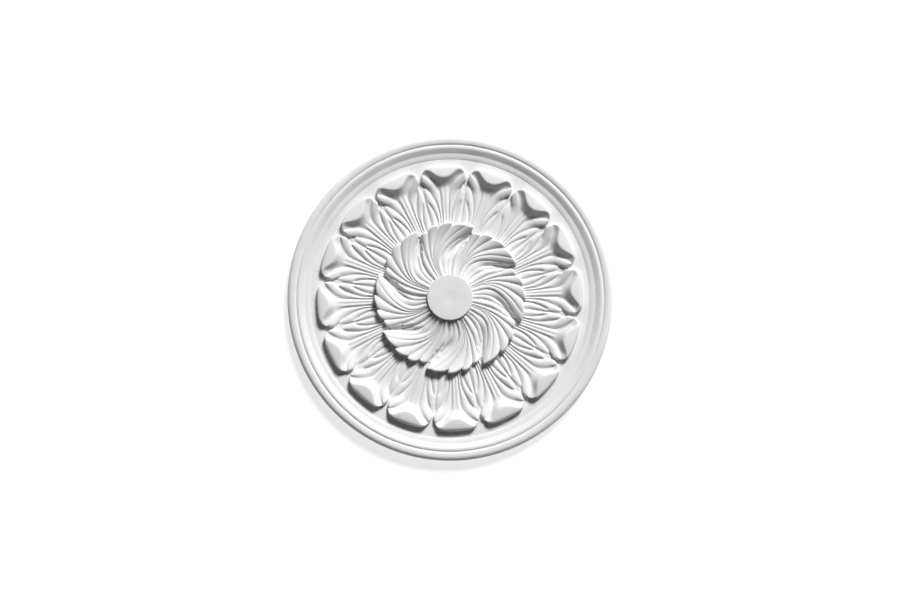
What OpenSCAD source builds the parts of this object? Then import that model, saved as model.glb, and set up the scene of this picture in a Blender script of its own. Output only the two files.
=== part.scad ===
// Round ceiling rose, cast in plaster in one piece.
// It lies on its back: the flat back is on Z = 0 and the carved face looks up.
// From the middle out: flat button, crown of swirling acanthus leaves, ring of
// petals with rolled lips, flat field, and a rim of step, cove, bead, groove and torus.

/* [Overall] */
// Outside diameter of the rose
rose_d = 600; // [500:10:900]
// Thickness of the plate at the flat field
plate_t = 14; // [12:1:30]

/* [Rim moulding] */
// Width of the whole rim moulding, from the flat field to the outside
rim_w = 42; // [42:1:60]
// Height of the small step where the rim starts
step_h = 0.8; // [0.4:0.1:2]
// Radius of the hollow cove
cove_r = 18; // [12:1:24]
// Slope of the cove below the bead, in degrees
cove_slope = 27; // [24:1:35]
// Height of the bead on top of the cove, above the field
bead_h = 7.6; // [5:0.1:9]
// Width of the flat top of the bead
bead_w = 4; // [1.5:0.1:6]
// Width of the sharp groove between bead and torus
groove_w = 4; // [3:0.1:6]
// Depth of that groove
groove_depth = 1.8; // [1:0.1:3]
// Width of the flat top of the torus beside the groove
torus_flat_w = 6; // [3:0.5:9]
// Radius of the rounded outer side of the torus
torus_r = 8.5; // [6:0.5:11]
// Height of the torus above the field
torus_h = 8.2; // [6:0.1:14]

/* [Button] */
// Diameter of the round button in the middle
button_d = 84; // [70:1:100]
// Height of the button above the field
button_h = 18; // [15:1:28]
// Radius of its rounded top edge
button_edge_r = 1.5; // [0.5:0.1:3]
// Width of the shallow dimple in its top
dimple_d = 36; // [20:1:60]
// Depth of the dimple
dimple_depth = 0.8; // [0.3:0.1:2]

/* [Leaf crown] */
// Number of acanthus leaves in the crown, with two petals outside each of them
leaves = 8; // [6:1:10]
// Diameter over the leaf tips
crown_d = 280; // [240:5:330]
// Height of the leaves against the button, above the field
crown_root_h = 11.5; // [8:0.5:14]
// Height of the bottom of the bowl between button and tips
crown_bowl_h = 4.4; // [2:0.1:6]
// How far the leaf tips curl up above the bowl
crown_curl_h = 7.6; // [5:0.1:12]
// Scale of the leaf ribs, 1 for full depth
rib_depth = 1; // [0.4:0.1:1.4]

/* [Petals] */
// Turn of the petals against the leaves, in degrees
petal_turn = 3.1; // [-5:0.1:5]
// Flat gap between the petal tips and the rim moulding
tip_gap = 12; // [6:0.5:20]
// Height of the rolled lip above the field
lip_h = 15; // [9:0.5:17]
// Depth of the flutes between the side lobes of a petal
flute_depth = 3.5; // [1.5:0.1:5]
// Depth of the channel along the middle of a petal
channel_depth = 1.2; // [0.4:0.1:1.5]

/* [Hidden] */

rose_r = rose_d / 2;
button_r = button_d / 2;
crown_r = crown_d / 2;
field_r = rose_r - rim_w;
petal_r = field_r - tip_gap;
leaf_pitch = 360 / leaves;
petal_pitch = leaf_pitch / 2;
// The carving lies on a thinner disc inside the rim, so that its flutes can go below the
// field, and it is let into the disc, the rim and the button.
disc_t = plate_t - flute_depth - 1;
carving_base = disc_t - 3;
seat = 1;
far = 100;
rim_sectors = 16;
round_steps = 180;

// General shaping laws.
function limit(t) = min(1, max(0, t));
function ease(t) = let(u = limit(t)) u * u * (3 - 2 * u);
function mix(a, b, t) = a + (b - a) * t;
function rise(t, bend) = t <= 0 ? 0 : pow(t, bend);
// A rounded ridge that falls to a sharp valley, where away goes from 0 on the ridge to 1.
function fold(ridge, valley, away, bend = 1.8) = valley + (ridge - valley) * (1 - rise(limit(away), bend));

// Leaf crown.
// Each vein is a valley between two ribs of a leaf. Its angle is a share of the leaf
// pitch, and v runs from 0 at the root of the crown to 1 at its edge:
// [angle at the root, sweep, v where the sweep starts, run of the sweep,
//  height over the bowl at the root, at the tip, v where it sinks to the floor, run of that]
veins = [
    [0.116, 0.560, 0.105, 0.937, -0.8, -0.8, 0.26, 0.24],
    [0.300, 0.719, 0.200, 0.790, -0.8, -2.4, far, 1],
    [0.511, 0.933, 0.074, 1.168, -0.8, 2.6, far, 1],
    [0.538, 0.689, 0.074, 1.168, -0.6, -0.6, far, 1],
    [0.564, 0.431, 0.074, 1.168, -0.6, -1.2, far, 1],
    [0.600, 0.237, 0.074, 1.168, -0.8, -1.6, far, 1],
    [0.707, 0.190, 0.074, 1.168, -0.8, -3.0, 0.86, 0.10],
    [0.729, 0.190, 0.074, 1.168, 0.2, -2.0, 0.66, 0.10],
    [0.944, 0.375, 0.105, 0.895, -3.0, -3.0, 0.38, 0.16],
    [1.116, 0.560, 0.105, 0.937, -0.8, -0.8, 0.26, 0.24],
];
// Each lobe lies between a vein and the next one:
// [rib height at the root, rib height at the tip, v where its tip ends,
//  reach of its tip past the crown radius, reach of the vein before it, steps across]
lobes = [
    [1.8, 2.8, 0.73, -13, -13, 2],
    [3.0, 2.2, far, -1.5, -11, 4],
    [1.9, 2.8, far, -1.5, -0.9, 4],
    [1.5, 3.6, far, -0.5, -7.5, 4],
    [1.5, 3.8, far, -3, -8, 4],
    [2.6, 4.0, far, -10, -13, 4],
    [0.6, 2.2, 0.80, -14, -14, 1],
    [3.6, 3.6, 0.60, -14, -14, 3],
    [2.4, 2.0, 0.58, -14, -14, 2],
];
floor_h = -2.8;
tip_fade = 0.04;
root_r = button_r + 3;
crown_len = crown_r - root_r;

function vein_angle(i, v) = leaf_pitch * (veins[i][0] - veins[i][1] * ease((v - veins[i][2]) / veins[i][3]));
function bowl_h(v) = crown_bowl_h + (crown_root_h - crown_bowl_h) * exp(-7.3 * v)
    + crown_curl_h * rise(limit((v - 0.6) / 0.4), 1.7);
function vein_h(i, v) = mix(
    bowl_h(v) + mix(veins[i][4], veins[i][5], limit(v)),
    floor_h,
    ease((v - veins[i][6]) / veins[i][7])
);
function rib_h(i, v) = rib_depth * mix(lobes[i][0], lobes[i][1], limit(v))
    * (1 - ease((v - lobes[i][2] + tip_fade) / tip_fade));
function vein_reach(i) = lobes[i % len(lobes)][4];
function edge_r(i, t) = let(straight = mix(vein_reach(i), vein_reach(i + 1), t))
    crown_r + straight
    + (lobes[i][3] - straight) * rise(1 - pow(abs(2 * pow(t, 0.6) - 1), 2.4), 0.8);
// One column of the crown for each step across each lobe: [lobe, share across it].
leaf_columns = [for (i = [0 : len(lobes) - 1]) for (k = [0 : lobes[i][5] - 1]) [i, k / lobes[i][5]]];
function leaf_angle(col, v) = mix(vein_angle(col[0], v), vein_angle(col[0] + 1, v), col[1]);
// A point of the crown as [radius, angle, height over the field].
function leaf_point(col, share) = let(
    r = root_r + share * (edge_r(col[0], col[1]) - root_r),
    v = (r - root_r) / crown_len,
    low = mix(vein_h(col[0], v), vein_h(col[0] + 1, v), col[1])
) [r, leaf_angle(col, v), low + rib_h(col[0], v) * rise(1 - pow(abs(2 * col[1] - 1), 2.2), 0.9)];

// Petals.
// Angles are shares of half a petal pitch from the middle line, and p runs from 0 at the
// crown radius to 1 at the petal tip. Three valleys part the side lobes, and the middle
// one turns into the side edge of the petal near its tip.
crest_mid_p = 0.775;
corner_p = 0.935;
corner_f = 0.7;
outline_p = 0.976;
outline_f = 0.68;
edge_p = 0.68;
edge_f = 0.85;
wide_p = 0.76;
wide_f = 0.975;
wall_f = 0.916;
function valley_1(p) = min(valley_2(p) - 0.03, 0.215 + 0.62 * rise((p - 0.5) / 0.36, 2));
function valley_2(p) = p < edge_p
    ? 0.338 + (edge_f - 0.338) * rise((p - 0.18) / (edge_p - 0.18), 1.35)
    : mix(edge_f, wide_f, ease((p - edge_p) / (wide_p - edge_p)))
        - (wide_f - outline_f) * rise(limit((p - wide_p) / (outline_p - wide_p)), 2.2);
function valley_3(p) = max(valley_2(p) + 0.02, min(wall_f, 0.524 + 0.258 * rise((p - 0.038) / 0.279, 1.4)));
function ridge_1(p) = mix(valley_1(p), valley_2(p), mix(0.42, 0.55, ease((p - 0.4) / 0.25)));
// Blends two heights where they cross, over a few millimetres.
function soft_least(a, b) = min(a, b) - pow(max(3 - abs(a - b), 0), 2) / 12;
// The rolled lip: crest line, outline and height across the petal.
lip_run = 0.165;
function crest_p(f) = mix(crest_mid_p, corner_p, rise(ease(f / corner_f), 1.5));
function tip_p(f) = 1 - (1 - outline_p) * rise(min(f / outline_f, 1), 2.5);
function crest_h(f) = lip_h * (1 - 0.2 * pow(min(f / corner_f, 1), 2));
function lip(p, f) = let(
    crest = crest_p(f),
    high = crest_h(f),
    inside = high * rise((p - crest + lip_run) / lip_run, 1.9),
    out = limit((p - crest) / (tip_p(f) - crest))
) max(0, soft_least(inside, high * (1 - 0.2 * out * out) * sqrt(1 - pow(out, 16))));
function side_ridge_h(p) = 0.4 + 0.6 * lip_h * ease((p - 0.5) / 0.37);
function lobe_2_h(p) = (0.8 + 1.6 * ease((p - 0.215) / 0.237)) * (1 - ease((p - 0.53) / 0.15));
deep = 1 - flute_depth;

function tongue_h(p, f, v1) = let(
    high = crest_h(f),
    side = 0.45 * side_ridge_h(p) * rise(f / v1, 2.2) * ease((p - 0.5) / 0.2)
) fold(1, deep, f / v1, 1.9) * (1 - ease((p - 0.6) / 0.25))
    + high - (high - lip(p, f)) * (1 - side / high)
    - channel_depth * limit(1 - f / 0.09) * (1 - ease((p - 0.55) / 0.14));
// The side lobe that grows into the corner of the petal, and the wall at its edge.
function lobe_1_at(p, f, v1, r1, v2) = let(
    high = mix(side_ridge_h(p), lip(p, f), ease((p - 0.86) / 0.06)),
    low = mix(deep, high - 0.5, ease((p - 0.58) / 0.1))
) f <= r1
    ? fold(high, tongue_h(p, v1, v1), (r1 - f) / (r1 - v1))
    : fold(high, low, (f - r1) / (v2 - r1), 2);
function edge_wall(p, f, v2) = mix(1, sqrt(1 - pow(min(f / v2, 1), 40)), ease((p - edge_p) / 0.04 + 1));
function lobe_2_at(p, f, v2, v3, joined) = let(top = mix(v2, v3, 0.55)) f < top
    ? fold(lobe_2_h(p), mix(deep, 0, ease((p - 0.58) / 0.1)), (top - f) / (top - v2))
    : fold(lobe_2_h(p), mix(deep, lobe_2_h(p) - 1, joined), (f - top) / (v3 - top));
function lobe_3_at(p, f, v3, joined) = mix(
    fold(1, deep, abs(f - mix(v3, 1, 0.5)) / (0.5 * (1 - v3))),
    mix(lobe_2_h(p) - 1, -1.2 * (1 - ease((p - 0.57) / 0.097)), (f - v3) / (1 - v3)),
    joined
);
function petal_h(p, f) = let(
    v1 = valley_1(p),
    v2 = valley_2(p),
    v3 = valley_3(p),
    r1 = ridge_1(p),
    joined = ease((v3 - 0.8) / (wall_f - 0.8))
) p > tip_p(f) || (p >= edge_p && f >= v2) ? 0
    : f <= v1 ? tongue_h(p, f, v1) * edge_wall(p, f, v2)
    : f <= v2 ? lobe_1_at(p, f, v1, r1, v2) * edge_wall(p, f, v2)
    : f <= v3 ? lobe_2_at(p, f, v2, v3, joined)
    : lobe_3_at(p, f, v3, joined);

// Columns of a petal follow its valleys and ridges, from the middle line to its edge.
// Near its end two of them leave the lobes and stand at the top and foot of the side wall.
function petal_knots(p) = let(
    v1 = valley_1(p),
    v2 = valley_2(p),
    v3 = valley_3(p),
    r1 = ridge_1(p),
    wall = ease((p - 0.6) / (edge_p - 0.6))
) [
    0, v1 / 2, v1, r1,
    mix(v2, max(v2 - 0.035, mix(r1, v2, 0.6)), wall),
    mix(mix(v2, v3, 0.55), v2 + 0.004, wall),
    v3, 1
];
half_columns = 7;
petal_columns = 2 * half_columns;
function petal_angle(i, p) = let(q = i % petal_columns, knots = petal_knots(p)) petal_turn
    + petal_pitch * (floor(i / petal_columns) - 1
        + 0.5 * (q <= half_columns ? knots[q] : 2 - knots[petal_columns - q]));
function petal_share(angle) = let(a = (angle - petal_turn + 720) / petal_pitch, q = a - floor(a + 0.5))
    2 * abs(q);
petal_len = petal_r - crown_r;
function petal_point(p, angle) = [crown_r + p * petal_len, angle, petal_h(p, petal_share(angle))];

// Rows of the carving, as shares of the leaf and of the petal.
leaf_rows = [0.02, 0.17, 0.34, 0.5, 0.65, 0.78, 0.9, 1];
// The first row of the petals, where the columns turn halfway from the leaves to the petals.
turning_row = 0.05;
petal_rows = [0.2, 0.38, 0.53];
lip_rows = [-1, -0.5, 0, 0.88, 1];
wall_run = 0.8;
columns = len(leaf_columns) * leaves;
function column(j) = j % len(leaf_columns);
function sector(j) = leaf_pitch * floor(j / len(leaf_columns));
function turned(q, j) = [q[0], q[1] + sector(j), q[2]];
// Foot of the leaf tips, on the petals.
function foot_point(j) = let(q = leaf_point(leaf_columns[column(j)], 1), r = q[0] + wall_run)
    [r, q[1], petal_h((r - crown_r) / petal_len, petal_share(q[1] + sector(j)))];
function turning_point(j) = let(
    leaf = leaf_point(leaf_columns[column(j)], 1)[1] + sector(j),
    angle = mix(leaf, petal_angle(j, turning_row), 0.5)
) petal_point(turning_row, angle);
// A row of the lip: -1 is the foot of its inner slope, 0 its crest and 1 the outline.
function lip_point(row, j) = let(
    knots = petal_knots(corner_p),
    q = j % petal_columns,
    f = min(knots[q <= half_columns ? q : petal_columns - q], outline_f),
    c = crest_p(f),
    p = row < 0 ? c + row * lip_run * 0.95 : mix(c, tip_p(f) + 0.002, row)
) petal_point(p, petal_angle(j, p));

all_columns = [0 : columns - 1];
outer_edge = field_r + seat;
carving_depth = carving_base - plate_t;
ring_list = concat(
    [for (z = [carving_depth, crown_root_h]) [for (j = all_columns)
        turned([button_r - 3, leaf_angle(leaf_columns[column(j)], 0), z], j)]],
    [for (s = leaf_rows) [for (j = all_columns) turned(leaf_point(leaf_columns[column(j)], s), j)]],
    [[for (j = all_columns) turned(foot_point(j), j)]],
    [[for (j = all_columns) turning_point(j)]],
    [for (p = petal_rows) [for (j = all_columns) petal_point(p, petal_angle(j, p))]],
    [for (row = lip_rows) [for (j = all_columns) lip_point(row, j)]],
    [[for (j = all_columns) [outer_edge, petal_angle(j, 1), 0]]],
    [[for (j = all_columns) [outer_edge, petal_angle(j, 1), carving_depth]]]
);
rings = len(ring_list);
function place(q) = [q[0] * cos(q[1]), q[0] * sin(q[1]), plate_t + q[2]];
carving_points = [for (ring = ring_list) for (q = ring) place(q)];
function corner(i, j) = (i % rings) * columns + j % columns;
carving_faces = [for (i = [0 : rings - 1]) for (j = [0 : columns - 1]) each [
    [corner(i, j), corner(i, j + 1), corner(i + 1, j + 1)],
    [corner(i, j), corner(i + 1, j + 1), corner(i + 1, j)]
]];

module carving() {
    polyhedron(points = carving_points, faces = carving_faces, convexity = 10);
}

// Half section of the rim, from the flat field to the outside.
module rim_section() {
    torus_x = rose_r - torus_r;
    torus_z = plate_t + torus_h - torus_r;
    groove_x = torus_x - torus_flat_w - groove_w / 2;
    bead_x = groove_x - groove_w / 2 - bead_w;
    cove_z = plate_t + step_h + cove_r;
    slope_z = cove_z - cove_r * cos(cove_slope);
    slope_x = bead_x - (plate_t + bead_h - slope_z) / tan(cove_slope);
    cove_x = slope_x - cove_r * sin(cove_slope);
    difference() {
        union() {
            translate([field_r, 0]) square([groove_x - field_r, plate_t + bead_h]);
            translate([groove_x, 0]) square([torus_x - groove_x, plate_t + torus_h]);
            translate([field_r, 0]) square([rim_w, torus_z]);
            translate([torus_x, torus_z]) circle(r = torus_r, $fn = round_steps);
        }
        translate([cove_x - rim_w, plate_t + step_h]) square([rim_w, rim_w]);
        translate([cove_x, cove_z]) circle(r = cove_r, $fn = round_steps);
        polygon([
            [slope_x, slope_z],
            [slope_x + rim_w, slope_z + rim_w * tan(cove_slope)],
            [cove_x, slope_z + rim_w * tan(cove_slope)],
            [cove_x, cove_z],
        ]);
        polygon([
            [groove_x, plate_t + bead_h - groove_depth],
            [groove_x - groove_w, plate_t + bead_h + groove_depth],
            [groove_x + groove_w, plate_t + bead_h + groove_depth],
        ]);
    }
}

module rim_sector(i) {
    turn = 360 / rim_sectors;
    rotate_extrude(angle = turn, start = turn * (i - 0.5), $fn = round_steps) rim_section();
}

module disc() {
    cylinder(h = disc_t, r = field_r + 2 * seat, $fn = round_steps);
}

module button() {
    top = plate_t + button_h;
    dish_r = (pow(dimple_d / 2, 2) + pow(dimple_depth, 2)) / (2 * dimple_depth);
    difference() {
        union() {
            cylinder(h = top - button_edge_r, r = button_r, $fn = round_steps);
            rotate_extrude($fn = round_steps) {
                square([button_r - button_edge_r, top]);
                translate([button_r - button_edge_r, top - button_edge_r])
                    circle(r = button_edge_r, $fn = round_steps);
            }
        }
        translate([0, 0, top + dish_r - dimple_depth]) sphere(r = dish_r, $fn = round_steps);
    }
}

// The masses of the one casting: disc, button and carving, and then the rim in sectors.
module mass(i) {
    if (i == 0) disc();
    else if (i == 1) button();
    else if (i == 2) carving();
    else rim_sector(i - 3);
}

module ceiling_rose() {
    color("whitesmoke") for (i = [0 : rim_sectors + 2]) mass(i);
}

ceiling_rose();
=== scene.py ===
"""A cast plaster ceiling rose on a pale floor, built round the frame."""

import math

import bpy
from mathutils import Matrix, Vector


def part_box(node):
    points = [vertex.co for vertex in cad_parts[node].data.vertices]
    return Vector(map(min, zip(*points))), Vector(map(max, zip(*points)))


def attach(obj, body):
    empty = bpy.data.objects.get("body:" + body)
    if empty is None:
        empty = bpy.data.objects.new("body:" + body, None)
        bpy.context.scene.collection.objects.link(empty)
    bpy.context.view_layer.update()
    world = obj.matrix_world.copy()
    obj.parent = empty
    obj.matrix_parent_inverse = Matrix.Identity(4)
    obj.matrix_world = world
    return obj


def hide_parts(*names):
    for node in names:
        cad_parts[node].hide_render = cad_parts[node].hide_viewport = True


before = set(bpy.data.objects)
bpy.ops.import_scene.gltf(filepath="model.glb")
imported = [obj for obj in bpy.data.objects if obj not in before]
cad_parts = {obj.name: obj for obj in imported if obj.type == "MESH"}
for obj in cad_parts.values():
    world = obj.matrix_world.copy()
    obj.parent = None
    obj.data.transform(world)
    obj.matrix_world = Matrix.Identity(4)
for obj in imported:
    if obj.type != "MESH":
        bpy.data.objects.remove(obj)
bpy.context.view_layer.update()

bl_info = {
    "name": "Ceiling Rose",
    "version": (1, 0, 0),
    "blender": (4, 5, 0),
    "location": "View3D > Sidebar > Ceiling Rose",
    "description": "Builds a plaster ceiling rose with a leaf crown and a ring of petals",
    "category": "Object",
}

ROSE_LOW, ROSE_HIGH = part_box("ceiling_rose")
ROSE_D = round((ROSE_HIGH[0] - ROSE_LOW[0]) * 1000, 0) / 1000
# The rim keeps within the flats of the solid's round edge.
RIM_REACH = min(-ROSE_LOW[0], -ROSE_LOW[1], ROSE_HIGH[0], ROSE_HIGH[1])
# A place past the end of every leaf, for what never comes.
FAR = 100.0
# Points closer than this are one point, and edges that bend less than this are smooth.
WELD = 0.000005
CREASE = math.radians(55)
# The height of what is let into the plate, in millimetres from the field.
LET_IN = -4


# ---------------------------------------------------------------- shaping laws


def limit(t):
    return min(1.0, max(0.0, t))


def ease(t):
    u = limit(t)
    return u * u * (3 - 2 * u)


def mix(a, b, t):
    return a + (b - a) * t


def rise(t, bend):
    return t**bend if t > 0 else 0.0


def fold(ridge, valley, away, bend=1.8):
    """A rounded ridge that falls to a sharp valley, away being 0 on the ridge."""
    return valley + (ridge - valley) * (1 - rise(limit(away), bend))


def bump(t, middle, half):
    """A soft hump, 1 at its middle and 0 at half its width away."""
    return 1 - ease(abs(t - middle) / half)


# ------------------------------------------------------------------ the sizes


class RoseSizes(bpy.types.PropertyGroup):
    plate_t: bpy.props.FloatProperty(
        name="Plate thickness",
        description="Thickness of the plate at the flat field",
        default=0.014,
        unit="LENGTH",
    )
    rim_w: bpy.props.FloatProperty(
        name="Rim width",
        description="Width of the rim moulding, from the flat field to the outside",
        default=0.042,
        unit="LENGTH",
    )
    button_d: bpy.props.FloatProperty(
        name="Button diameter",
        description="Diameter of the flat round button in the middle",
        default=0.084,
        unit="LENGTH",
    )
    button_h: bpy.props.FloatProperty(
        name="Button height",
        description="Height of the button above the field",
        default=0.018,
        unit="LENGTH",
    )
    crown_d: bpy.props.FloatProperty(
        name="Crown diameter",
        description="Diameter over the leaf tips of the crown",
        default=0.28,
        unit="LENGTH",
    )
    leaves: bpy.props.IntProperty(
        name="Leaves",
        description="Number of leaves in the crown, with two petals outside each",
        default=8,
    )
    petal_turn: bpy.props.FloatProperty(
        name="Petal turn",
        description="Turn of the petals against the leaves",
        default=math.radians(3.1),
        subtype="ANGLE",
    )
    tip_gap: bpy.props.FloatProperty(
        name="Tip gap",
        description="Flat gap between the petal tips and the rim moulding",
        default=0.012,
        unit="LENGTH",
    )
    rib_depth: bpy.props.FloatProperty(
        name="Rib depth",
        description="Scale of the leaf ribs, 1 for full depth",
        default=1.0,
    )
    lip_h: bpy.props.FloatProperty(
        name="Lip height",
        description="Height of a petal's rolled lip above the field",
        default=0.015,
        unit="LENGTH",
    )
    flute_depth: bpy.props.FloatProperty(
        name="Flute depth",
        description="Depth of the flutes between the side lobes of a petal",
        default=0.0035,
        unit="LENGTH",
    )


class PlasterFinish(bpy.types.PropertyGroup):
    plaster: bpy.props.FloatVectorProperty(
        name="Plaster",
        description="Colour of the bare cast plaster",
        default=(0.80, 0.80, 0.795),
        subtype="COLOR",
        min=0,
        max=1,
    )
    aged: bpy.props.FloatVectorProperty(
        name="Aged plaster",
        description="Colour of the faint clouding over the plaster",
        default=(0.72, 0.715, 0.70),
        subtype="COLOR",
        min=0,
        max=1,
    )
    grain: bpy.props.FloatProperty(
        name="Grain size",
        description="Size of the grain left by the mould",
        default=0.0016,
        unit="LENGTH",
    )
    floor: bpy.props.FloatVectorProperty(
        name="Floor",
        description="Colour of the pale floor",
        default=(0.35, 0.35, 0.35),
        subtype="COLOR",
        min=0,
        max=1,
    )
    floor_glow: bpy.props.FloatProperty(
        name="Floor glow",
        description="Light of the floor's own, which keeps it white under the rose",
        default=0.75,
    )


# ------------------------------------------------------------------ the crown

# A vein is a valley between two ribs of a leaf. Its angle is a share of the leaf pitch,
# and v runs from 0 at the root of the crown to 1 at its edge: angle at the root, sweep,
# v where the sweep starts, its run, height over the bowl at the root and at the tip,
# v where it sinks to the floor, and the run of that.
VEINS = (
    (0.116, 0.560, 0.105, 0.937, -0.8, -0.8, 0.26, 0.24),
    (0.300, 0.719, 0.200, 0.790, -0.8, -2.4, FAR, 1),
    (0.511, 0.933, 0.074, 1.168, -0.8, 2.6, FAR, 1),
    (0.538, 0.689, 0.074, 1.168, -0.6, -0.6, FAR, 1),
    (0.564, 0.431, 0.074, 1.168, -0.6, -1.2, FAR, 1),
    (0.600, 0.237, 0.074, 1.168, -0.8, -1.6, FAR, 1),
    (0.707, 0.190, 0.074, 1.168, -0.8, -3.0, 0.86, 0.1),
    (0.729, 0.190, 0.074, 1.168, 0.2, -2.0, 0.66, 0.1),
    (0.944, 0.375, 0.105, 0.895, -3.0, -3.0, 0.38, 0.16),
    (1.116, 0.560, 0.105, 0.937, -0.8, -0.8, 0.26, 0.24),
)
# A lobe lies between a vein and the next one: rib height at the root and at the tip,
# v where its tip ends, reach of its tip past the crown radius, reach of the vein before
# it, and columns across it.
LOBES = (
    (1.8, 2.8, 0.73, -13, -13, 6),
    (3.0, 2.2, FAR, -1.5, -11, 12),
    (1.9, 2.8, FAR, -1.5, -0.9, 16),
    (1.5, 3.6, FAR, -0.5, -7.5, 15),
    (1.5, 3.8, FAR, -3, -8, 14),
    (2.6, 4.0, FAR, -10, -13, 14),
    (0.6, 2.2, 0.80, -14, -14, 4),
    (3.6, 3.6, 0.60, -14, -14, 9),
    (2.4, 2.0, 0.58, -14, -14, 6),
)
# Height of the gaps between leaves, and run over which the tip of a short lobe ends.
FLOOR_H = -2.8
TIP_FADE = 0.04
# Heights of the crown: against the button, at the bottom of its bowl, curl of its edge.
ROOT_H, BOWL_H, CURL_H = 11.5, 4.4, 7.6


class Crown:
    """Heights of the leaf crown in millimetres, by radius and angle in degrees."""

    def __init__(self, sizes):
        self.pitch = 360 / sizes.leaves
        self.edge = sizes.crown_d * 500
        self.root = sizes.button_d * 500 + 3
        self.length = self.edge - self.root
        self.depth = sizes.rib_depth
        self.columns = [
            (i, k / lobe[5]) for i, lobe in enumerate(LOBES) for k in range(lobe[5])
        ]

    def vein_angle(self, i, v):
        start, sweep, begin, run = VEINS[i][:4]
        return self.pitch * (start - sweep * ease((v - begin) / run))

    def bowl(self, v):
        return (
            BOWL_H
            + (ROOT_H - BOWL_H) * math.exp(-7.3 * v)
            + CURL_H * rise(limit((v - 0.6) / 0.4), 1.7)
        )

    def vein_h(self, i, v):
        root, tip, sink, run = VEINS[i][4:]
        return mix(
            self.bowl(v) + mix(root, tip, limit(v)), FLOOR_H, ease((v - sink) / run)
        )

    def rib_h(self, i, v):
        root, tip, end = LOBES[i][:3]
        fade = 1 - ease((v - end + TIP_FADE) / TIP_FADE)
        return self.depth * mix(root, tip, limit(v)) * fade

    def edge_r(self, i, t):
        """Radius of the leaf edge over lobe i, t going from 0 to 1 across it."""
        a, b = LOBES[i][4], LOBES[(i + 1) % len(LOBES)][4]
        straight = mix(a, b, t)
        peak = rise(1 - abs(2 * t**0.6 - 1) ** 2.4, 0.8)
        return self.edge + straight + (LOBES[i][3] - straight) * peak

    def angle(self, column, v):
        i, t = column
        return mix(self.vein_angle(i, v), self.vein_angle(i + 1, v), t)

    def height(self, column, v):
        i, t = column
        low = mix(self.vein_h(i, v), self.vein_h(i + 1, v), t)
        return low + self.rib_h(i, v) * rise(1 - abs(2 * t - 1) ** 2.2, 0.9)


# ----------------------------------------------------------------- the petals

# Shares of a petal's length end in _P, and of its half width in _F:
# the lip crest, from the middle of a petal to its corner, the outline at the corner, the
# place where the side lobe joins the outline, and the widest place.
CREST_P, CORNER_P, CORNER_F = 0.775, 0.935, 0.7
OUTLINE_P, OUTLINE_F = 0.976, 0.68
EDGE_P, EDGE_F, WIDE_P, WIDE_F, WALL_F = 0.68, 0.85, 0.76, 0.975, 0.916
# Columns between the valleys and ridges of half a petal, from its middle line out.
HALF_STEPS = (10, 4, 3, 2, 2, 2, 4)
LIP_RUN, LIP_ROUND = 0.165, 5
CHANNEL_DEPTH, BORDER_H = 1.2, 0.5


def soft_least(a, b, round_off):
    """The lesser of two heights, rounded over where they are about the same."""
    h = max(round_off - abs(a - b), 0) / round_off
    return min(a, b) - h * h * round_off / 4


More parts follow.
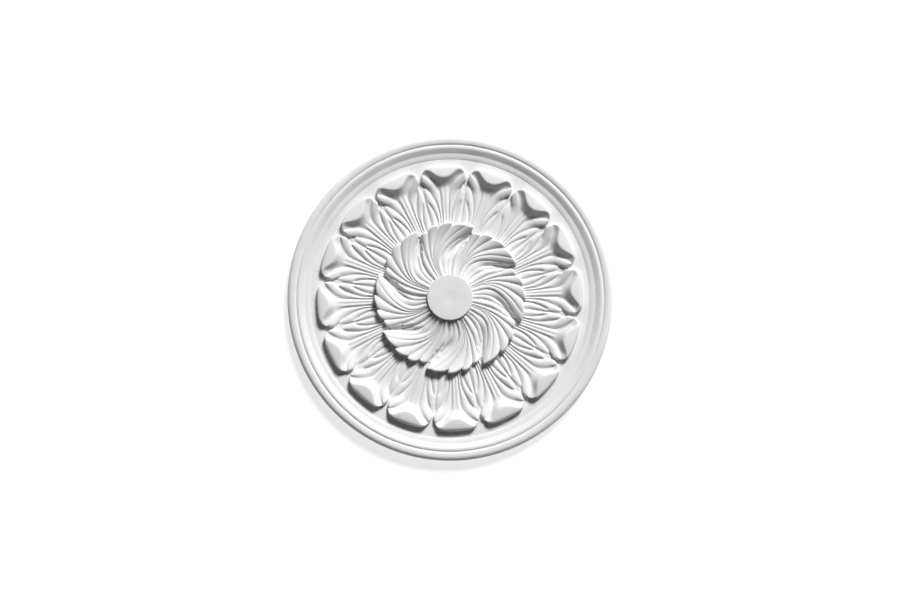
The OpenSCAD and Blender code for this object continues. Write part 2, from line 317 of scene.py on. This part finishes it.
class Petals:
    """Heights of the ring of petals in millimetres.

    p goes from 0 at the crown radius to 1 at the petal tip, and f from 0 on the middle
    line of a petal to 1 halfway to the next petal.
    """

    def __init__(self, sizes):
        self.pitch = 180 / sizes.leaves
        self.turn = math.degrees(sizes.petal_turn)
        self.inner = sizes.crown_d * 500
        self.tip = ROSE_D * 500 - sizes.rim_w * 1000 - sizes.tip_gap * 1000
        self.length = self.tip - self.inner
        self.lip_h = sizes.lip_h * 1000
        self.deep = 1 - sizes.flute_depth * 1000

    def valley_1(self, p):
        free = 0.215 + 0.62 * rise((p - 0.5) / 0.36, 2)
        return min(free, self.valley_2(p) - 0.03)

    def valley_2(self, p):
        """The second valley, which becomes the outline near the end of the petal."""
        if p < EDGE_P:
            return 0.338 + (EDGE_F - 0.338) * rise((p - 0.18) / (EDGE_P - 0.18), 1.35)
        out = mix(EDGE_F, WIDE_F, ease((p - EDGE_P) / (WIDE_P - EDGE_P)))
        narrowing = limit((p - WIDE_P) / (OUTLINE_P - WIDE_P))
        return out - (WIDE_F - OUTLINE_F) * rise(narrowing, 2.2)

    def valley_3(self, p):
        free = 0.524 + 0.258 * rise((p - 0.038) / 0.279, 1.4)
        return max(self.valley_2(p) + 0.02, min(WALL_F, free))

    def ridge_1(self, p):
        share = mix(0.42, 0.55, ease((p - 0.4) / 0.25))
        return mix(self.valley_1(p), self.valley_2(p), share)

    def crest_p(self, f):
        return mix(CREST_P, CORNER_P, rise(ease(f / CORNER_F), 1.5))

    def crest_h(self, f):
        return self.lip_h * (1 - 0.2 * min(f / CORNER_F, 1) ** 2)

    def tip_p(self, f):
        return 1 - (1 - OUTLINE_P) * rise(min(f / OUTLINE_F, 1), 2.5)

    def side_ridge(self, p):
        return 0.4 + 0.6 * self.lip_h * ease((p - 0.5) / 0.37)

    def lobe_2(self, p):
        return (0.8 + 1.6 * ease((p - 0.215) / 0.237)) * (1 - ease((p - 0.53) / 0.15))

    def lip(self, p, f):
        """The rolled lip: a hollow slope inside, a flat round back and a steep end."""
        crest, high = self.crest_p(f), self.crest_h(f)
        inside = high * rise((p - crest + LIP_RUN) / LIP_RUN, 1.9)
        if p <= crest:
            return soft_least(inside, high, LIP_ROUND) if inside > 0 else 0.0
        out = min(1.0, (p - crest) / (self.tip_p(f) - crest))
        outside = high * (1 - 0.2 * out * out) * math.sqrt(1 - out**16)
        return max(0.0, soft_least(inside, outside, LIP_ROUND))

    def tongue(self, p, f, v1):
        """The middle of a petal, hollow toward the lip, with its bordered channel."""
        fade = 1 - ease((p - 0.6) / 0.25)
        channel = 1 - ease((p - 0.55) / 0.14)
        rib = BORDER_H * bump(f, 0.11, 0.06) - CHANNEL_DEPTH * limit(1 - f / 0.09)
        high = self.crest_h(f)
        side = 0.45 * self.side_ridge(p) * rise(f / v1, 2.2) * ease((p - 0.5) / 0.2)
        hollow = high * (1 - (1 - self.lip(p, f) / high) * (1 - side / high))
        return fold(1, self.deep, f / v1, 1.9) * fade + hollow + channel * rib

    def height(self, p, f):
        v1, v2, v3 = self.valley_1(p), self.valley_2(p), self.valley_3(p)
        if p > self.tip_p(f) or (p >= EDGE_P and f >= v2):
            return 0.0
        r1, deep = self.ridge_1(p), self.deep
        if f <= v2:
            if f <= v1:
                z = self.tongue(p, f, v1)
            else:
                tip = ease((p - 0.86) / 0.06)
                high = mix(self.side_ridge(p), self.lip(p, f), tip)
                low = mix(deep, high - 0.5, ease((p - 0.58) / 0.1))
                if f <= r1:
                    z = fold(high, self.tongue(p, v1, v1), (r1 - f) / (r1 - v1), 1.8)
                else:
                    z = fold(high, low, (f - r1) / (v2 - r1), 2)
            wall = ease((p - EDGE_P + 0.04) / 0.04)
            return z * mix(1, math.sqrt(max(0.0, 1 - (f / v2) ** 40)), wall)
        wall = ease((v3 - 0.8) / (WALL_F - 0.8))
        top, high = mix(v2, v3, 0.55), self.lobe_2(p)
        if f <= top:
            low = mix(deep, 0, ease((p - 0.58) / 0.1))
            return fold(high, low, (top - f) / (top - v2))
        if f <= v3:
            return fold(high, mix(deep, high - 1, wall), (f - top) / (v3 - top))
        free = fold(1, deep, abs(f - mix(v3, 1, 0.5)) / (0.5 * (1 - v3)))
        joined = mix(
            high - 1, -1.2 * (1 - ease((p - 0.57) / 0.097)), (f - v3) / (1 - v3)
        )
        return mix(free, joined, wall)

    def knots(self, p):
        """Shares of the columns from the middle line to the edge of a petal."""
        v1, v2, v3 = self.valley_1(p), self.valley_2(p), self.valley_3(p)
        r1 = self.ridge_1(p)
        shoulder = max(v2 - 0.035, mix(r1, v2, 0.6))
        marks = [0, v1, r1, shoulder, v2, mix(v2, v3, 0.55), v3, 1]
        out = []
        for a, b, steps in zip(marks, marks[1:], HALF_STEPS):
            out += [mix(a, b, k / steps) for k in range(steps)]
        return out + [1.0]


# ---------------------------------------------------------------- the profile


def rim_profile(plate_t, rim_w):
    """Radius and height of the rim from the field to the back, in millimetres."""
    outer = RIM_REACH * 1000
    field = outer - rim_w
    torus_r, torus_flat, torus_h = 8.5, 6.0, 8.2
    groove_w, groove_d, bead_h, bead_w = 4.0, 1.8, 7.6, 4.0
    cove_r, step, foot = 8.0, 0.8, 0.45
    shallow, steep = math.radians(5), math.radians(34)
    torus_x = outer - torus_r
    groove_x = torus_x - torus_flat - groove_w / 2
    bead_x = groove_x - groove_w / 2 - bead_w
    slope_h = step + foot + cove_r * (math.cos(shallow) - math.cos(steep))
    slope_x = bead_x - (bead_h - slope_h) / math.tan(steep)
    soft = 0.35
    line = [(field, LET_IN), (field, step - soft), (field + soft, step)]
    for k in range(7):
        a = mix(shallow, steep, k / 6)
        x = slope_x - cove_r * (math.sin(steep) - math.sin(a))
        line.append((x, step + foot + cove_r * (math.cos(shallow) - math.cos(a))))
    line += [(bead_x - 0.4, bead_h - 0.25), (bead_x + 0.6, bead_h)]
    line += [(bead_x + bead_w - 0.4, bead_h), (bead_x + bead_w + 0.1, bead_h - 0.2)]
    line += [(groove_x - 0.2, bead_h - groove_d + 0.1), (groove_x, bead_h - groove_d)]
    line += [(groove_x + 0.2, bead_h - groove_d + 0.1), (groove_x + 2.9, torus_h - 0.3)]
    line += [(groove_x + 3.7, torus_h)]
    for k in range(13):
        a = math.pi / 2 * k / 12
        line.append(
            (torus_x + torus_r * math.sin(a), torus_h - torus_r * (1 - math.cos(a)))
        )
    base = -plate_t
    line += [(outer, base + 1.0), (outer - 0.3, base + 0.3), (outer - 1.0, base)]
    return line + [(outer * 0.6, base), (0, base)]


def button_profile(sizes):
    """Radius and height of the button from the middle of its top to its foot."""
    radius, top, edge = sizes.button_d * 500, sizes.button_h * 1000, 1.4
    dimple_r, dimple_depth = 18, 0.8
    line = [(0, top - dimple_depth)]
    for k in range(1, 7):
        r = dimple_r * k / 6
        line.append((r, top - dimple_depth * bump(r, 0, dimple_r)))
    line += [(radius * 0.7, top), (radius - edge, top)]
    for k in range(1, 6):
        a = math.pi / 2 * k / 5
        line.append(
            (radius - edge + edge * math.sin(a), top - edge * (1 - math.cos(a)))
        )
    return line + [(radius, top - 8), (radius, LET_IN)]


# ------------------------------------------------------------------ the mesh


class Sheet:
    """Grows a mesh from rings of points, each ring one sector of the rose."""

    def __init__(self):
        self.points, self.faces = [], []

    def point(self, r, angle, z):
        a = math.radians(angle)
        self.points.append((r * math.cos(a) / 1000, r * math.sin(a) / 1000, z / 1000))
        return len(self.points) - 1

    def add(self, rings, lift):
        """Joins rings of (radius, angle, height), of the same count, into quads."""
        last = None
        for ring in rings:
            row = [self.point(r, a, z + lift) for r, a, z in ring]
            if last:
                for j in range(len(row) - 1):
                    self.faces.append((last[j], row[j], row[j + 1], last[j + 1]))
            last = row


LEAF_ROWS = 36
# The rolled edge of the leaves: distance in from the edge, and fall below the leaf.
EDGE_ROLL = ((3.0, 0), (2.3, 0.35), (1.5, 0.95), (0.8, 1.7), (0.25, 2.5), (0, 3.2))
BODY_ROWS = 27
INNER_LIP_ROWS = 18
OUTER_LIP_ROWS = 14
# The petals start under the crown, and their lips start where the body ends.
PETAL_START, PETAL_BODY_END = -0.13, 0.6
# Steps round one sector of the rim and of the button.
RIM_STEPS, BUTTON_STEPS = 28, 14
# The height of the carving's hidden underside, in millimetres from the field.
BOTTOM = -7


def crown_rings(sizes):
    """The rows of one sector of the crown, from under the button to under the petals."""
    crown = Crown(sizes)
    columns = crown.columns + [(len(LOBES) - 1, 1.0)]

    def ring(radius_for, drop):
        out = []
        for c in columns:
            r = radius_for(crown.edge_r(*c))
            v = (r - crown.root) / crown.length
            out.append((r, crown.angle(c, v), crown.height(c, v) - drop))
        return out

    inner, roll_w = sizes.button_d * 500 - 2, EDGE_ROLL[0][0]
    rows = [[(inner, crown.angle(c, 0), z) for c in columns] for z in (BOTTOM, ROOT_H)]
    for k in range(LEAF_ROWS):
        share = 1 - (1 - k / LEAF_ROWS) ** 1.15
        rows.append(ring(lambda edge: mix(crown.root, edge - roll_w, share), 0))
    for inset, drop in EDGE_ROLL:
        rows.append(ring(lambda edge: edge - inset, drop))
    rows.append([(r + 0.5, a, BOTTOM) for r, a, z in rows[-1]])
    return rows + [rows[0]]


def petal_rings(sizes):
    """The rows of one sector of the petals, from under the crown to under the rim."""
    petals = Petals(sizes)
    field = ROSE_D * 500 - sizes.rim_w * 1000
    half = sum(HALF_STEPS)
    columns = range(4 * half + 1)

    def share(j, p):
        q = j % (2 * half)
        return petals.knots(p)[q if q <= half else 2 * half - q]

    def place(j, p, z=None):
        f = share(j, p)
        side = 1 if j % (2 * half) <= half else -1
        turns = j // (2 * half) - 1 + (side < 0)
        angle = petals.turn + petals.pitch * (turns + side * f / 2)
        r = petals.inner + p * petals.length
        return (r, angle, petals.height(p, f) if z is None else z)

    def settle(line, j):
        p = 0.9
        for _ in range(5):
            p = line(share(j, p))
        return p

    crests = [settle(petals.crest_p, j) for j in columns]
    tips = [settle(petals.tip_p, j) for j in columns]
    rows = [[place(j, PETAL_START, BOTTOM) for j in columns]]
    for k in range(BODY_ROWS):
        p = mix(PETAL_START, PETAL_BODY_END, k / BODY_ROWS)
        rows.append([place(j, p) for j in columns])
    for k in range(INNER_LIP_ROWS):
        t = 1 - (1 - k / INNER_LIP_ROWS) ** 1.3
        rows.append([place(j, mix(PETAL_BODY_END, crests[j], t)) for j in columns])
    turn = math.pi / OUTER_LIP_ROWS
    outer = [0.5 - 0.5 * math.cos(k * turn) for k in range(OUTER_LIP_ROWS)]
    for t in outer + [0.9999, 1.005]:
        rows.append([place(j, mix(crests[j], tips[j], t)) for j in columns])
    last = (field + 1 - petals.inner) / petals.length
    rows += [[place(j, last, z) for j in columns] for z in (0, BOTTOM)]
    return rows + [rows[0]]


def sector_mesh(sizes):
    """One sector of the whole rose: carving, rim with plate, and button."""
    plate = sizes.plate_t * 1000
    pitch = 360 / sizes.leaves
    sheet = Sheet()
    sheet.add(crown_rings(sizes), plate)
    sheet.add(petal_rings(sizes), plate)
    for steps, line in (
        (RIM_STEPS, [(0, LET_IN)] + rim_profile(plate, sizes.rim_w * 1000)),
        (BUTTON_STEPS, button_profile(sizes) + [(0, LET_IN)]),
    ):
        angles = [pitch * k / steps for k in range(steps + 1)]
        sheet.add([[(r, a, z) for a in angles] for r, z in line], plate)
    mesh = bpy.data.meshes.new("rose_sector")
    mesh.from_pydata(sheet.points, [], sheet.faces)
    return mesh


# ------------------------------------------------------------ geometry nodes


def add_socket(tree, name, kind, default=None, direction="INPUT"):
    """Adds a named input or output to a node tree."""
    socket = tree.interface.new_socket(name, in_out=direction, socket_type=kind)
    if default is not None:
        socket.default_value = default
    return socket


def turning_tree():
    """Turns one sector about the axis, joins the copies and gives them their finish."""
    tree = bpy.data.node_groups.new("turn_sectors", "GeometryNodeTree")
    add_socket(tree, "Geometry", "NodeSocketGeometry", direction="OUTPUT")
    add_socket(tree, "Sector", "NodeSocketGeometry")
    add_socket(tree, "Count", "NodeSocketInt", 8)
    add_socket(tree, "Weld Distance", "NodeSocketFloat", WELD)
    add_socket(tree, "Crease Angle", "NodeSocketFloat", CREASE)
    add_socket(tree, "Finish", "NodeSocketMaterial")
    nodes, link = tree.nodes, tree.links.new
    enter, leave = nodes.new("NodeGroupInput"), nodes.new("NodeGroupOutput")
    spots = nodes.new("GeometryNodePoints")
    link(enter.outputs["Count"], spots.inputs["Count"])
    index = nodes.new("GeometryNodeInputIndex")
    step = nodes.new("ShaderNodeMath")
    step.operation = "DIVIDE"
    step.inputs[0].default_value = 2 * math.pi
    link(enter.outputs["Count"], step.inputs[1])
    turn = nodes.new("ShaderNodeMath")
    turn.operation = "MULTIPLY"
    link(index.outputs[0], turn.inputs[0])
    link(step.outputs[0], turn.inputs[1])
    angles = nodes.new("ShaderNodeCombineXYZ")
    link(turn.outputs[0], angles.inputs["Z"])
    copies = nodes.new("GeometryNodeInstanceOnPoints")
    link(spots.outputs[0], copies.inputs["Points"])
    link(enter.outputs["Sector"], copies.inputs["Instance"])
    link(angles.outputs[0], copies.inputs["Rotation"])
    real = nodes.new("GeometryNodeRealizeInstances")
    link(copies.outputs[0], real.inputs[0])
    weld = nodes.new("GeometryNodeMergeByDistance")
    link(real.outputs[0], weld.inputs["Geometry"])
    link(enter.outputs["Weld Distance"], weld.inputs["Distance"])
    bend = nodes.new("GeometryNodeInputMeshEdgeAngle")
    smooth_edge = nodes.new("FunctionNodeCompare")
    smooth_edge.data_type, smooth_edge.operation = "FLOAT", "LESS_THAN"
    link(bend.outputs["Unsigned Angle"], smooth_edge.inputs["A"])
    link(enter.outputs["Crease Angle"], smooth_edge.inputs["B"])
    faces = nodes.new("GeometryNodeSetShadeSmooth")
    faces.domain = "FACE"
    link(weld.outputs[0], faces.inputs["Geometry"])
    edges = nodes.new("GeometryNodeSetShadeSmooth")
    edges.domain = "EDGE"
    link(faces.outputs[0], edges.inputs["Geometry"])
    link(smooth_edge.outputs["Result"], edges.inputs["Shade Smooth"])
    finish = nodes.new("GeometryNodeSetMaterial")
    link(edges.outputs[0], finish.inputs["Geometry"])
    link(enter.outputs["Finish"], finish.inputs["Material"])
    link(finish.outputs[0], leave.inputs[0])
    return tree


def turned_mesh(sector, name, values):
    """A plain mesh of the sector turned round, through the node tree."""
    tree = turning_tree()
    carrier = bpy.data.objects.new(name + "_sector", sector)
    bpy.context.scene.collection.objects.link(carrier)
    modifier = carrier.modifiers.new("turn", "NODES")
    modifier.node_group = tree
    for socket in tree.interface.items_tree:
        if socket.item_type == "SOCKET" and socket.name in values:
            modifier[socket.identifier] = values[socket.name]
    graph = bpy.context.evaluated_depsgraph_get()
    mesh = bpy.data.meshes.new_from_object(carrier.evaluated_get(graph))
    mesh.name = name
    bpy.data.objects.remove(carrier)
    return mesh


# ---------------------------------------------------------------- the finish


def grain_group():
    """Grain, unevenness and pinholes of cast plaster as one height, and its clouding."""
    group = bpy.data.node_groups.new("plaster_grain", "ShaderNodeTree")
    add_socket(group, "Vector", "NodeSocketVector")
    add_socket(group, "Scale", "NodeSocketFloat", 600.0)
    add_socket(group, "Height", "NodeSocketFloat", direction="OUTPUT")
    add_socket(group, "Cloud", "NodeSocketFloat", direction="OUTPUT")
    nodes, link = group.nodes, group.links.new
    enter, leave = nodes.new("NodeGroupInput"), nodes.new("NodeGroupOutput")
    fine = nodes.new("ShaderNodeTexNoise")
    fine.inputs["Detail"].default_value = 3.0
    fine.inputs["Roughness"].default_value = 0.6
    link(enter.outputs["Vector"], fine.inputs["Vector"])
    link(enter.outputs["Scale"], fine.inputs["Scale"])
    broad = nodes.new("ShaderNodeTexNoise")
    broad.inputs["Scale"].default_value = 38.0
    broad.inputs["Detail"].default_value = 4.0
    link(enter.outputs["Vector"], broad.inputs["Vector"])
    holes = nodes.new("ShaderNodeTexVoronoi")
    holes.inputs["Scale"].default_value = 150.0
    link(enter.outputs["Vector"], holes.inputs["Vector"])
    pit = nodes.new("ShaderNodeMapRange")
    pit.inputs["From Min"].default_value = 0.03
    pit.inputs["From Max"].default_value = 0.07
    link(holes.outputs["Distance"], pit.inputs["Value"])
    few = nodes.new("ShaderNodeMath")
    few.operation = "GREATER_THAN"
    few.inputs[1].default_value = 0.62
    tone = nodes.new("ShaderNodeSeparateColor")
    link(holes.outputs["Color"], tone.inputs[0])
    link(tone.outputs[0], few.inputs[0])
    pitted = nodes.new("ShaderNodeMath")
    pitted.operation = "MAXIMUM"
    link(pit.outputs[0], pitted.inputs[0])
    link(few.outputs[0], pitted.inputs[1])
    blend = nodes.new("ShaderNodeMath")
    blend.operation = "MULTIPLY_ADD"
    blend.inputs[1].default_value = 0.7
    link(fine.outputs["Fac"], blend.inputs[0])
    link(pitted.outputs[0], blend.inputs[2])
    total = nodes.new("ShaderNodeMath")
    total.operation = "MULTIPLY_ADD"
    total.inputs[1].default_value = 1.5
    link(broad.outputs["Fac"], total.inputs[0])
    link(blend.outputs[0], total.inputs[2])
    link(total.outputs[0], leave.inputs["Height"])
    link(broad.outputs["Fac"], leave.inputs["Cloud"])
    return group


def plaster_material(finish):
    """Bare matt plaster with a faint clouding and the grain of the mould."""
    material = bpy.data.materials.new("cast_plaster")
    material.use_nodes = True
    nodes, link = material.node_tree.nodes, material.node_tree.links.new
    shader = nodes["Principled BSDF"]
    shader.inputs["Roughness"].default_value = 0.85
    shader.inputs["Specular IOR Level"].default_value = 0.25
    place = nodes.new("ShaderNodeTexCoord")
    grain = nodes.new("ShaderNodeGroup")
    grain.node_tree = grain_group()
    grain.inputs["Scale"].default_value = 1 / finish.grain
    link(place.outputs["Object"], grain.inputs["Vector"])
    cloud = nodes.new("ShaderNodeMapRange")
    cloud.inputs["From Min"].default_value = 0.42
    cloud.inputs["From Max"].default_value = 0.78
    cloud.inputs["To Max"].default_value = 0.5
    link(grain.outputs["Cloud"], cloud.inputs["Value"])
    colour = nodes.new("ShaderNodeMix")
    colour.data_type = "RGBA"
    colour.inputs[6].default_value = (*finish.plaster, 1)
    colour.inputs[7].default_value = (*finish.aged, 1)
    link(cloud.outputs[0], colour.inputs["Factor"])
    link(colour.outputs[2], shader.inputs["Base Color"])
    relief = nodes.new("ShaderNodeBump")
    relief.inputs["Strength"].default_value = 0.22
    relief.inputs["Distance"].default_value = 0.00035
    link(grain.outputs["Height"], relief.inputs["Height"])
    link(relief.outputs[0], shader.inputs["Normal"])
    return material


def floor_material(finish):
    """A pale floor with a little light of its own."""
    material = bpy.data.materials.new("pale_floor")
    material.use_nodes = True
    nodes, link = material.node_tree.nodes, material.node_tree.links.new
    shader = nodes["Principled BSDF"]
    shader.inputs["Roughness"].default_value = 0.9
    shader.inputs["Specular IOR Level"].default_value = 0.1
    place = nodes.new("ShaderNodeTexCoord")
    noise = nodes.new("ShaderNodeTexNoise")
    noise.inputs["Scale"].default_value = 3.0
    link(place.outputs["Object"], noise.inputs["Vector"])
    tone = nodes.new("ShaderNodeMix")
    tone.data_type = "RGBA"
    tone.inputs[6].default_value = (*finish.floor, 1)
    tone.inputs[7].default_value = (*[c * 0.99 for c in finish.floor], 1)
    link(noise.outputs["Fac"], tone.inputs["Factor"])
    link(tone.outputs[2], shader.inputs["Base Color"])
    shader.inputs["Emission Color"].default_value = (1, 1, 1, 1)
    shader.inputs["Emission Strength"].default_value = finish.floor_glow
    return material


# -------------------------------------------------------------- the operators


class ROSE_OT_casting(bpy.types.Operator):
    """Build the ceiling rose as one plaster casting"""

    bl_idname = "rose.casting"
    bl_label = "Build Casting"

    def execute(self, context):
        sizes, finish = context.scene.rose_sizes, context.scene.plaster_finish
        values = {
            "Count": sizes.leaves,
            "Weld Distance": WELD,
            "Crease Angle": CREASE,
            "Finish": plaster_material(finish),
        }
        mesh = turned_mesh(sector_mesh(sizes), "rose_casting", values)
        if not mesh.polygons:
            raise RuntimeError("the turned sectors gave no faces")
        rose = bpy.data.objects.new("rose_casting", mesh)
        context.scene.collection.objects.link(rose)
        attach(rose, "root")
        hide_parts("ceiling_rose")
        return {"FINISHED"}


# The camera leans back a little from straight above, and its view is VIEW_SPAN times as
# wide as the rose.
CAMERA_TILT = math.radians(3.8)
CAMERA_AIM = Vector((0, -0.0037, 0.012))
CAMERA_LENS = 90
VIEW_SPAN = 36 / 13
FLOOR_HALF, FLOOR_DROP = 6.0, 0.0002
# Azimuth, elevation and spread in degrees, and strength.
KEY_LIGHT = (66, 38, 17, 4.4)
STUDIO_LIGHT = 0.05


def sun_light(name, azimuth, elevation, spread, strength):
    """A soft sun that shines from an azimuth and elevation in degrees."""
    data = bpy.data.lights.new(name, "SUN")
    data.angle, data.energy = math.radians(spread), strength
    light = bpy.data.objects.new(name, data)
    a, e = math.radians(azimuth), math.radians(elevation)
    way = Vector(
        (math.cos(a) * math.cos(e), math.sin(a) * math.cos(e), math.sin(e))
    )
    light.location = way * 2
    light.rotation_mode = "QUATERNION"
    light.rotation_quaternion = way.to_track_quat("Z", "Y")
    bpy.context.scene.collection.objects.link(light)


class ROSE_OT_stage(bpy.types.Operator):
    """Set out the floor, the lights and the camera"""

    bl_idname = "rose.stage"
    bl_label = "Set Out Stage"

    def execute(self, context):
        scene, finish = context.scene, context.scene.plaster_finish
        half = FLOOR_HALF
        floor_mesh = bpy.data.meshes.new("floor")
        corners = [
            (-half, -half, 0),
            (half, -half, 0),
            (half, half, 0),
            (-half, half, 0),
        ]
        floor_mesh.from_pydata(corners, [], [(0, 1, 2, 3)])
        floor_mesh.materials.append(floor_material(finish))
        floor = bpy.data.objects.new("floor", floor_mesh)
        scene.collection.objects.link(floor)
        floor.location.z = -FLOOR_DROP

        sun_light("key_light", *KEY_LIGHT)
        world = bpy.data.worlds.new("studio")
        scene.world = world
        world.use_nodes = True
        back = world.node_tree.nodes["Background"]
        back.inputs["Color"].default_value = (1, 1, 1, 1)
        back.inputs["Strength"].default_value = STUDIO_LIGHT
        scene.view_settings.view_transform = "Standard"

        camera_data = bpy.data.cameras.new("camera")
        camera_data.sensor_width = 36
        camera_data.lens = CAMERA_LENS
        camera = bpy.data.objects.new("camera", camera_data)
        scene.collection.objects.link(camera)
        width = VIEW_SPAN * ROSE_D
        distance = width * camera_data.lens / camera_data.sensor_width
        way = Vector((0, -math.sin(CAMERA_TILT), math.cos(CAMERA_TILT)))
        camera.location = CAMERA_AIM + way * distance
        camera.rotation_mode = "QUATERNION"
        camera.rotation_quaternion = way.to_track_quat("Z", "Y")
        scene.camera = camera
        return {"FINISHED"}


class ROSE_PT_panel(bpy.types.Panel):
    bl_label = "Ceiling Rose"
    bl_idname = "ROSE_PT_panel"
    bl_space_type = "VIEW_3D"
    bl_region_type = "UI"
    bl_category = "Ceiling Rose"

    def draw(self, context):
        for group in (context.scene.rose_sizes, context.scene.plaster_finish):
            for name in group.__annotations__:
                self.layout.prop(group, name)
        self.layout.operator("rose.casting")
        self.layout.operator("rose.stage")


CLASSES = (RoseSizes, PlasterFinish, ROSE_OT_casting, ROSE_OT_stage, ROSE_PT_panel)


def register():
    for cls in CLASSES:
        bpy.utils.register_class(cls)
    bpy.types.Scene.rose_sizes = bpy.props.PointerProperty(type=RoseSizes)
    bpy.types.Scene.plaster_finish = bpy.props.PointerProperty(type=PlasterFinish)


def unregister():
    del bpy.types.Scene.plaster_finish
    del bpy.types.Scene.rose_sizes
    for cls in reversed(CLASSES):
        bpy.utils.unregister_class(cls)


def main():
    register()
    bpy.ops.rose.casting()
    bpy.ops.rose.stage()


if __name__ == "__main__":
    main()
